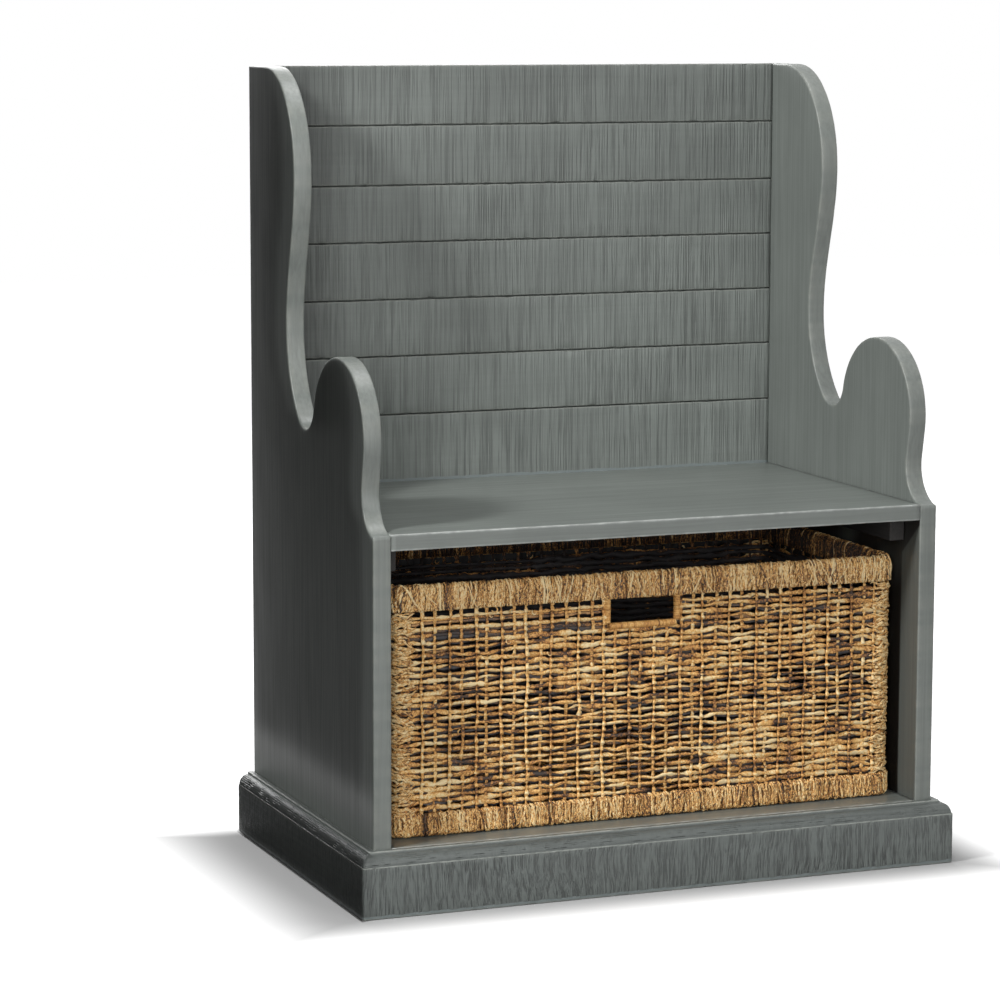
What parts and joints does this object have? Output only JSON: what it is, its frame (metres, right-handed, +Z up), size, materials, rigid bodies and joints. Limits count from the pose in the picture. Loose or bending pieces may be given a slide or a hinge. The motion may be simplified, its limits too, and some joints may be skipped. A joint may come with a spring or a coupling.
{
  "type": "hall bench",
  "caption": "High-backed hall bench with scrolled side panels, a planked back, a fixed seat, a moulded plinth and a woven basket that slides in under the seat.",
  "frame": {"origin": "on the floor, under the middle of the bench's width and depth", "axes": "+X to the sitter's left along the bench, as seen on the right from the front; -Y is the front; +Z up"},
  "size_m": [0.7874, 0.4826, 0.9906],
  "materials": {
    "grey_paint": "grey-green paint, satin, grain showing faintly",
    "sawn_paint": "grey-green paint over upright saw marks",
    "bare_pine": "plain sawn pine",
    "woven_fibre": "open weave of dry plant fibre",
    "wrapped_fibre": "close wrapping of dry plant fibre",
    "rattan_rod": "peeled rattan"
  },
  "bodies": {
    "bench": {"left_side_panel": "grey_paint", "right_side_panel": "grey_paint", "plinth_front": "sawn_paint", "plinth_left": "sawn_paint", "plinth_right": "sawn_paint", "cubby_bottom_board": "grey_paint", "front_floor_rail": "bare_pine", "rear_floor_rail": "bare_pine", "left_floor_cleat": "bare_pine", "right_floor_cleat": "bare_pine", "front_left_corner_block": "bare_pine", "front_right_corner_block": "bare_pine", "rear_left_corner_block": "bare_pine", "rear_right_corner_block": "bare_pine", "back_board_01": "sawn_paint", "back_board_02": "sawn_paint", "back_board_03": "sawn_paint", "back_board_04": "sawn_paint", "back_board_05": "sawn_paint", "back_board_06": "sawn_paint", "back_board_07": "sawn_paint", "back_board_08": "sawn_paint", "back_board_09": "sawn_paint", "back_board_10": "sawn_paint", "back_board_11": "sawn_paint", "back_board_12": "sawn_paint", "left_back_batten": "bare_pine", "centre_back_batten": "bare_pine", "right_back_batten": "bare_pine", "seat_board": "grey_paint", "left_seat_cleat": "grey_paint", "right_seat_cleat": "grey_paint", "rear_seat_ledger": "grey_paint"},
    "basket": {"basket_wall": "woven_fibre", "basket_rim": "wrapped_fibre", "basket_rim_rod": "rattan_rod", "basket_bottom_band": "wrapped_fibre", "basket_floor": "woven_fibre", "basket_slot_binding": "wrapped_fibre"}
  },
  "joints": [
    {"name": "basket_slide", "type": "slide", "parent": "bench", "child": "basket", "axis": [0, -1, 0], "range_m": [0, 0.44]}
  ]
}
